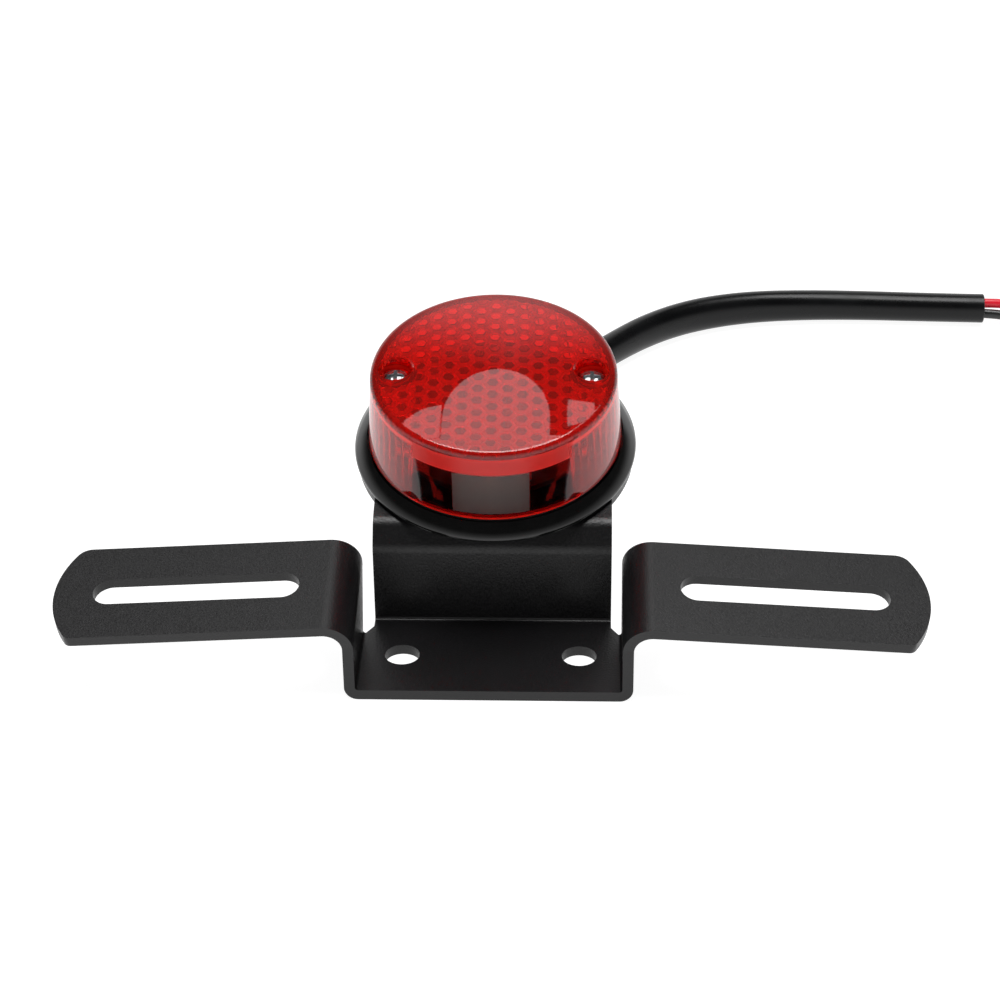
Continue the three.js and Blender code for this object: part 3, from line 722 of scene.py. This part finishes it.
def sleeve():
    route = Route(SLEEVE_ROUTE)
    outer = SLEEVE_R * MM
    wall = SLEEVE_WALL * MM
    lip = 0.25 * MM
    depth = SLEEVE_BORE_DEPTH * MM
    count = int(route.length / (1.5 * MM))
    end = route.length
    stations = [(0, outer - lip), (lip, outer)]
    stations += [(i * end / count, outer) for i in range(1, count)]
    stations += [(end - lip, outer), (end, outer - lip)]
    stations += [(end, outer - wall + lip), (end - lip, outer - wall), (end - depth, outer - wall)]
    obj = tube("sleeve", route, stations, 40, sleeve_swell)
    settle(obj, ["cable_sleeve"], SLEEVE)


def wire(word, points, material):
    route = Route(points)
    radius = WIRE_R * MM
    edge = 0.2 * MM
    count = int(route.length / (1.2 * MM))
    stations = [(0, radius)]
    stations += [(i * route.length / count, radius) for i in range(1, count)]
    stations += [(route.length - edge, radius), (route.length, radius - edge)]
    obj = tube(f"{word}_insulation", route, stations, 24)
    settle(obj, [f"wire_{word}"], material)
    strands = stripped_end(word, route)


def stripped_end(word, route):
    """Seven tinned strands, twisted together, past the end of the insulation."""
    point, (heading, side, up) = route.at(route.length)
    start = point + heading * (CLEAR * MM)
    length = (STRIPPED - CLEAR) * MM
    radius = STRAND_R * MM / 3
    turns = 0.9
    sides = 8
    rings = 24
    verts = []
    faces = []
    for strand in range(7):
        base = len(verts)
        reach = 0 if strand == 0 else 2 * radius
        for i in range(rings + 1):
            share = i / rings
            angle = 2 * math.pi * (strand / 6 + turns * share)
            centre = start + heading * (length * share)
            centre += side * (reach * math.cos(angle)) + up * (reach * math.sin(angle))
            for k in range(sides):
                spin = 2 * math.pi * k / sides
                verts.append(centre + side * (radius * math.cos(spin)) + up * (radius * math.sin(spin)))
        for i in range(rings):
            for k in range(sides):
                n = (k + 1) % sides
                low, high = base + i * sides, base + (i + 1) * sides
                faces.append((low + k, low + n, high + n, high + k))
        faces.append(tuple(base + k for k in range(sides - 1, -1, -1)))
        faces.append(tuple(base + rings * sides + k for k in range(sides)))
    obj = shade(add_mesh(f"{word}_strands", verts, faces), 50)
    return settle(obj, [f"wire_end_{word}"], TINNED)


sleeve()
wire("red", RED_ROUTE, RED_VINYL)
wire("black", BLACK_ROUTE, BLACK_VINYL)


# ---------------------------------------------------------------- bracket
def bracket():
    obj = soften(copy_of("bracket", "bent_bracket"), 0.35)
    settle(obj, ["bracket"], COAT)


bracket()


# ---------------------------------------------------------------- lamp housing
def housing():
    profile = [(0, HOUSING_FOOT), (HOUSING_SKIRT_R, HOUSING_FOOT), (HOUSING_SKIRT_R + 0.3, CLEAR + 0.3)]
    profile += [(HOUSING_SKIRT_R + 0.8, CLEAR)]
    profile += arc((HOUSING_R - HOUSING_ROLL, CLEAR + HOUSING_ROLL), HOUSING_ROLL, -90, 30, 8)
    profile += arc(SLOPE_CENTRE, SLOPE_R, 36, 58, 12)
    profile += [(LENS_SEAT_R, HOUSING_LIP - 0.1)]
    profile += [(LENS_SEAT_R, HOUSING_FLOOR), (0, HOUSING_FLOOR)]
    obj = lathe("round_housing", profile, 160)
    posts = []
    holes = [rod("hole", CABLE_HOLE_R, 1, 4, (0, CABLE_HOLE_Y))]
    sunk = HOUSING_FLOOR - POST_SINK
    for side in (-1, 1):
        posts.append(rod("post", LENS_POST_R, sunk, BOSS_FOOT - CLEAR, (side * WELL_X, 0)))
        holes.append(rod("hole", SELF_TAP_BORE_R, 3.9, 12, (side * WELL_X, 0)))
        holes.append(rod("hole", STUD_R + CLEAR, 1, 4, (side * STUD_X, 0)))
    for spot in board_screw_spots():
        posts.append(rod("post", BOARD_POST_R, sunk, BOARD_Z - CLEAR, spot))
        holes.append(rod("hole", BOARD_BORE_R, 4, 9, spot))
    combine(obj, posts, "UNION")
    combine(obj, holes, "DIFFERENCE")
    settle(shade(obj, 35), ["lamp_housing"], GLOSS_BLACK)


def board_screw_spots():
    spots = []
    for degrees in (90, 210, 330):
        angle = math.radians(degrees)
        spots.append((BOARD_SCREW_R * math.cos(angle), BOARD_SCREW_R * math.sin(angle)))
    return spots


housing()


# ---------------------------------------------------------------- lens
def honeycomb_block(name, low, height, reach):
    """A block from low up to a ceiling of hexagonal cells, each a flat-topped hollow in the lens."""
    side = CELL_PITCH / math.sqrt(3)
    lift = height + CELL_DEPTH
    verts = []
    faces = []
    found = {}

    def vertex(x, y, z):
        key = (round(x, 4), round(y, 4), round(z, 4))
        if key not in found:
            found[key] = len(verts)
            verts.append((x, y, z))
        return found[key]

    def hexagon(x, y, radius, z):
        corners = [math.radians(60 * k) for k in range(6)]
        return [vertex(x + radius * math.cos(a), y + radius * math.sin(a), z) for a in corners]

    columns = int(reach / (1.5 * side)) + 1
    rows = int(reach / CELL_PITCH) + 1
    for column in range(-columns, columns + 1):
        shift = 0.5 * CELL_PITCH if column % 2 else 0
        for row in range(-rows, rows + 1):
            x, y = column * 1.5 * side, row * CELL_PITCH + shift
            rim = hexagon(x, y, side, height)
            top = hexagon(x, y, side * CELL_TAPER, lift)
            foot = hexagon(x, y, side, low)
            faces.append(tuple(top))
            faces.append(tuple(reversed(foot)))
            for k in range(6):
                n = (k + 1) % 6
                faces.append((rim[k], rim[n], top[n], top[k]))
    obj = add_to_lamp(name, verts, faces)
    close_sides(obj)
    return obj


def close_sides(obj):
    """Joins the open upper and lower borders of a block with upright faces."""
    work = bmesh.new()
    work.from_mesh(obj.data)
    border = [e for e in work.edges if len(e.link_faces) == 1]
    bmesh.ops.bridge_loops(work, edges=border)
    bmesh.ops.recalc_face_normals(work, faces=work.faces)
    work.to_mesh(obj.data)
    work.free()


def fluted_cavity(name):
    """The lens's hollow. Its side is fluted upright above the foot, but not behind the front window."""
    segments = 360                 # one for each degree
    levels = [(LENS_FOOT_Z - 1, 0), (LENS_FOOT_Z + 2, 0), (LENS_FOOT_Z + 3, 1), (LENS_CEILING + 3, 1)]
    verts = []
    faces = []
    for z, share_of_flute in levels:
        share = (z - LENS_FOOT_Z) / (LENS_CEILING - LENS_FOOT_Z)
        radius = LENS_FOOT_R - LENS_WALL + (LENS_RIM_R - LENS_FOOT_R) * share
        for k in range(segments):
            angle = 2 * math.pi * k / segments
            from_front = abs((k - 270 + 180) % 360 - 180)
            depth = FLUTE * abs(math.sin(math.pi * k / FLUTE_ANGLE))
            if from_front <= WINDOW_HALF_ANGLE:
                depth = 0
            r = radius - depth * share_of_flute
            verts.append((r * math.cos(angle), r * math.sin(angle), z))
    for level in range(len(levels) - 1):
        low, high = level * segments, (level + 1) * segments
        for k in range(segments):
            n = (k + 1) % segments
            faces.append((low + k, low + n, high + n, high + k))
    last = (len(levels) - 1) * segments
    faces.append(tuple(range(segments - 1, -1, -1)))
    faces.append(tuple(range(last, last + segments)))
    return add_to_lamp(name, verts, faces)


def window_pocket(name):
    """The thinner stretch of wall at the front, which lets light down onto the plate."""
    outer, inner = POCKET_R, LENS_FOOT_R - LENS_WALL - 1.5
    steps = 48
    verts = []
    for z in (LENS_FOOT_Z - 1, WINDOW_TOP):
        for radius in (outer, inner):
            for i in range(steps + 1):
                angle = math.radians(-90 + WINDOW_HALF_ANGLE * (2 * i / steps - 1))
                verts.append((radius * math.cos(angle), radius * math.sin(angle), z))
    row = steps + 1
    faces = []
    for i in range(steps):
        a, b, c, d = i, row + i, 2 * row + i, 3 * row + i
        faces += [(a, a + 1, c + 1, c), (b + 1, b, d, d + 1), (a + 1, a, b, b + 1), (c, c + 1, d + 1, d)]
    faces.append((0, 2 * row, 3 * row, row))
    faces.append((steps, row + steps, 3 * row + steps, 2 * row + steps))
    return add_to_lamp(name, verts, faces)


def lens():
    centre = (LENS_RIM_R - LENS_RIM_ROUND, LENS_RIM_Z - LENS_RIM_ROUND)
    profile = [(0, LENS_FOOT_Z), (LENS_FOOT_R - 0.2, LENS_FOOT_Z), (LENS_FOOT_R, LENS_FOOT_Z + 0.2)]
    profile += arc(centre, LENS_RIM_ROUND, 0, 82, 10)
    steps = 20
    for i in range(steps, -1, -1):
        share = i / steps
        profile.append((centre[0] * share, LENS_RIM_Z + LENS_CROWN * (1 - share ** 2)))
    obj = lathe("red_lens", profile, 240)

    hollow = fluted_cavity("hollow")
    comb = honeycomb_block("comb", LENS_FOOT_Z - 2, LENS_CEILING, LENS_RIM_R + 4)
    combine(hollow, [comb], "INTERSECT")
    combine(hollow, [window_pocket("pocket")], "UNION")
    bosses = [rod("boss", BOSS_R, BOSS_FOOT, 26, (s * WELL_X, 0), 64) for s in (-1, 1)]
    combine(hollow, bosses, "DIFFERENCE")
    wells = []
    for s in (-1, 1):
        mouth = LENS_RIM_Z + 0.55
        well = [(0, LENS_FOOT_Z), (SELF_TAP_BORE_R, LENS_FOOT_Z), (SELF_TAP_BORE_R, WELL_FLOOR)]
        well += [(WELL_R - 0.3, WELL_FLOOR)]
        well += [(WELL_R, WELL_FLOOR + 0.3), (WELL_R, mouth), (WELL_R + 2, mouth + 2), (0, mouth + 2)]
        wells.append(lathe("well", well, 64, (s * WELL_X, 0)))
    combine(obj, [hollow, *wells], "DIFFERENCE")
    settle(shade(obj, 28), ["lens"], RED)


lens()


# ---------------------------------------------------------------- screws
def cross_screw(name, spot, shank, head, height, seat, tip):
    """A pan-head screw with a cross recess and a rolled thread."""
    profile = [(0, tip), (shank * 0.5, tip + 0.6)]
    z = tip + 1.2
    pitch = 0.8
    while z + pitch < seat - 0.4:
        profile += [(shank * 0.84, z), (shank, z + pitch * 0.4), (shank * 0.84, z + pitch * 0.8)]
        z += pitch
    profile += [(shank, z + 0.2), (shank, seat), (head * 0.96, seat), (head, seat + 0.15 * height)]
    profile += [(head * 0.97, seat + height * 0.5), (head * 0.86, seat + height * 0.8)]
    profile += [(head * 0.6, seat + height * 0.95), (0, seat + height)]
    obj = lathe(name, profile, 48, spot)
    floor = seat + height * 0.35
    top = seat + height + 1
    arms = [brick("arm", (0.28 * head, 1.25 * head), floor, top, spot)]
    arms.append(brick("arm", (1.25 * head, 0.28 * head), floor, top, spot))
    combine(obj, arms, "DIFFERENCE")
    return shade(obj, 35)


def lens_screws():
    seat = WELL_FLOOR + CLEAR
    for sign, word in ((-1, "left"), (1, "right")):
        screw = cross_screw(f"lens_screw_head_{word}", (sign * WELL_X, 0), 1.6, 3.4, 2.3, seat, 4.5)
        settle(screw, [f"lens_screw_{word}"], CHROME)


def board_screws():
    seat = BOARD_Z + BOARD_T + CLEAR
    for number, spot in enumerate(board_screw_spots(), 1):
        screw = cross_screw(f"board_screw_head_{number}", spot, 0.95, 2.3, 1.6, seat, 4.4)
        settle(screw, [f"board_screw_{number}"], ZINC)


lens_screws()
board_screws()


# ---------------------------------------------------------------- light board
def centre_of(node):
    """The middle of a node's box, in the lamp's frame, in mm."""
    low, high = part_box(node)
    return LAMP.inverted() @ ((low + high) / 2) / MM


def red_leds():
    foot = BOARD_Z + BOARD_T + CLEAR
    for number in range(1, LED_COUNT + 1):
        node = f"red_led_{number:02d}"
        middle = centre_of(node)
        profile = [(0, foot), (LED_FLANGE_R, foot), (LED_FLANGE_R, foot + 0.9)]
        profile += [(LED_FLANGE_R - 0.15, foot + 1), (LED_R, foot + 1)]
        profile += arc((0, foot + LED_STRAIGHT), LED_R, 0, 90, 12)
        profile[-1] = (0, profile[-1][1])
        dome = lathe(f"led_dome_{number:02d}", profile, 32, (middle.x, middle.y))
        settle(shade(dome, 35), [node], EPOXY)


def plate_leds():
    for number in range(1, PLATE_LED_COUNT + 1):
        node = f"plate_led_{number}"
        chip = soften(copy_of(node), 0.2)
        settle(chip, [node], PHOSPHOR)


def board():
    settle(soften(copy_of("led_board"), 0.12), ["led_board"], MASK)


def driver_parts():
    bands = [(0.24, 0.3, (0.25, 0.09, 0.02)), (0.4, 0.46, grey(0.02)), (0.56, 0.62, (0.4, 0.02, 0.01))]
    resistor = banded("resistor_lacquer", (0.05, 0.16, 0.24), bands)
    diode = banded("diode_epoxy", grey(0.015), [(0.72, 0.86, grey(0.5))])
    for node in ("resistor_left", "resistor_right"):
        settle(soften(copy_of(node), 0.1), [node], resistor)
    settle(soften(copy_of("polarity_diode"), 0.1), ["polarity_diode"], diode)


red_leds()
plate_leds()
board()
driver_parts()


# ---------------------------------------------------------------- seals, fasteners and grommet
def seals():
    for node in ("base_gasket", "lens_seal"):
        settle(soften(copy_of(node), 0.15), [node], RUBBER)
    settle(soften(copy_of("cable_grommet"), 0.3), ["cable_grommet"], RUBBER)


def fasteners():
    for word in ("left", "right"):
        for kind in ("mounting_stud", "flat_washer", "spring_washer", "nut"):
            node = f"{kind}_{word}"
            settle(soften(copy_of(node), 0.12), [node], ZINC)


def board_leads():
    for word, material in (("red", RED_VINYL), ("black", BLACK_VINYL)):
        node = f"board_lead_{word}"
        settle(soften(copy_of(node), 0.1), [node], material)


seals()
fasteners()
board_leads()


# ---------------------------------------------------------------- light table and lights
def floor():
    """A pale table that is lit from below, so that nothing on it casts a hard shadow."""
    drop = 0.05 * MM
    outline = rectangle((0, 0), 2 * TABLE_REACH, 2 * TABLE_REACH)
    obj = add_mesh("floor", [(x, y, -drop) for x, y in outline], [(0, 1, 2, 3)])
    m = new_material(
        "light_table", roughness=0.6, specular_ior_level=0.2, emission_strength=TABLE_GLOW,
        emission_color=grey(1),
    )
    cloud = add_noise(m, 3, 2)
    connect(m, base_color=ramp(m, cloud, [(0.3, grey(0.29)), (0.7, grey(0.31))]))
    obj.data.materials.append(m)


def soft_box(name, outline):
    """A glowing sheet that faces down, with its outline in metres."""
    face = tuple(range(len(outline) - 1, -1, -1))
    obj = add_mesh(name, [(x, y, BOX_HEIGHT) for x, y in outline], [face])
    m = new_material(name, base_color=grey(0), emission_strength=BOX_RADIANCE, emission_color=grey(1))
    obj.data.materials.append(m)
    obj.visible_camera = False


def rectangle(centre, width, depth):
    x, y = centre
    return [(x + i * width / 2, y + j * depth / 2) for i, j in ((-1, -1), (1, -1), (1, 1), (-1, 1))]


def arch(centre_x, front, spring, half, rise):
    """A rectangle from front to spring, in y, with half an ellipse behind it."""
    points = [(centre_x - half, front), (centre_x + half, front)]
    for degrees in range(0, 181, 5):
        angle = math.radians(degrees)
        points.append((centre_x + half * math.cos(angle), spring + rise * math.sin(angle)))
    return points


def quarter(right, front, spring, width, rise):
    """A rectangle from front to spring, in y, with a quarter of an ellipse behind it."""
    points = [(right - width, front), (right, front)]
    for degrees in range(90, 181, 5):
        angle = math.radians(degrees)
        points.append((right + width * math.cos(angle), spring + rise * math.sin(angle)))
    return points


def sky():
    """Bright near the horizon, and further up behind the object, and dim above."""
    world = bpy.data.worlds.new("studio")
    world.use_nodes = True
    tree = world.node_tree
    place = tree.nodes.new("ShaderNodeTexCoord")
    split = tree.nodes.new("ShaderNodeSeparateXYZ")
    tree.links.new(place.outputs["Generated"], split.inputs["Vector"])

    aside = calculate(tree, "ABSOLUTE", split.outputs["X"])
    straight = calculate(tree, "SUBTRACT", split.outputs["Y"], aside)
    behind = calculate(tree, "MULTIPLY", calculate(tree, "MAXIMUM", straight, 0), SKY_REAR_SHARE)
    level = calculate(tree, "SUBTRACT", split.outputs["Z"], behind)
    strength = between(tree, level, *SKY_FADE, SKY_LOW, SKY_HIGH)
    strength.node.interpolation_type = "SMOOTHSTEP"
    tree.links.new(strength, tree.nodes["Background"].inputs["Strength"])
    tree.nodes["Background"].inputs["Color"].default_value = (1, 1, 1, 1)
    bpy.context.scene.world = world


def studio():
    sky()
    data = bpy.data.lights.new("overhead", "SUN")
    data.energy = SUN_ENERGY
    data.angle = math.radians(SUN_SPREAD)
    sun = bpy.data.objects.new("overhead", data)
    sun.rotation_euler = (math.radians(SUN_LEAN), 0, 0)
    bpy.context.scene.collection.objects.link(sun)

    front = 0.2
    soft_box("top_box", arch(centre_x=-0.025, front=front, spring=0.40, half=0.114, rise=0.205))
    soft_box("left_box", quarter(right=-0.141, front=front, spring=0.36, width=0.095, rise=0.1))
    soft_box("right_box", rectangle(centre=(0.175, 0.385), width=0.099, depth=0.21))


floor()
studio()
bpy.context.scene.view_settings.view_transform = "Standard"
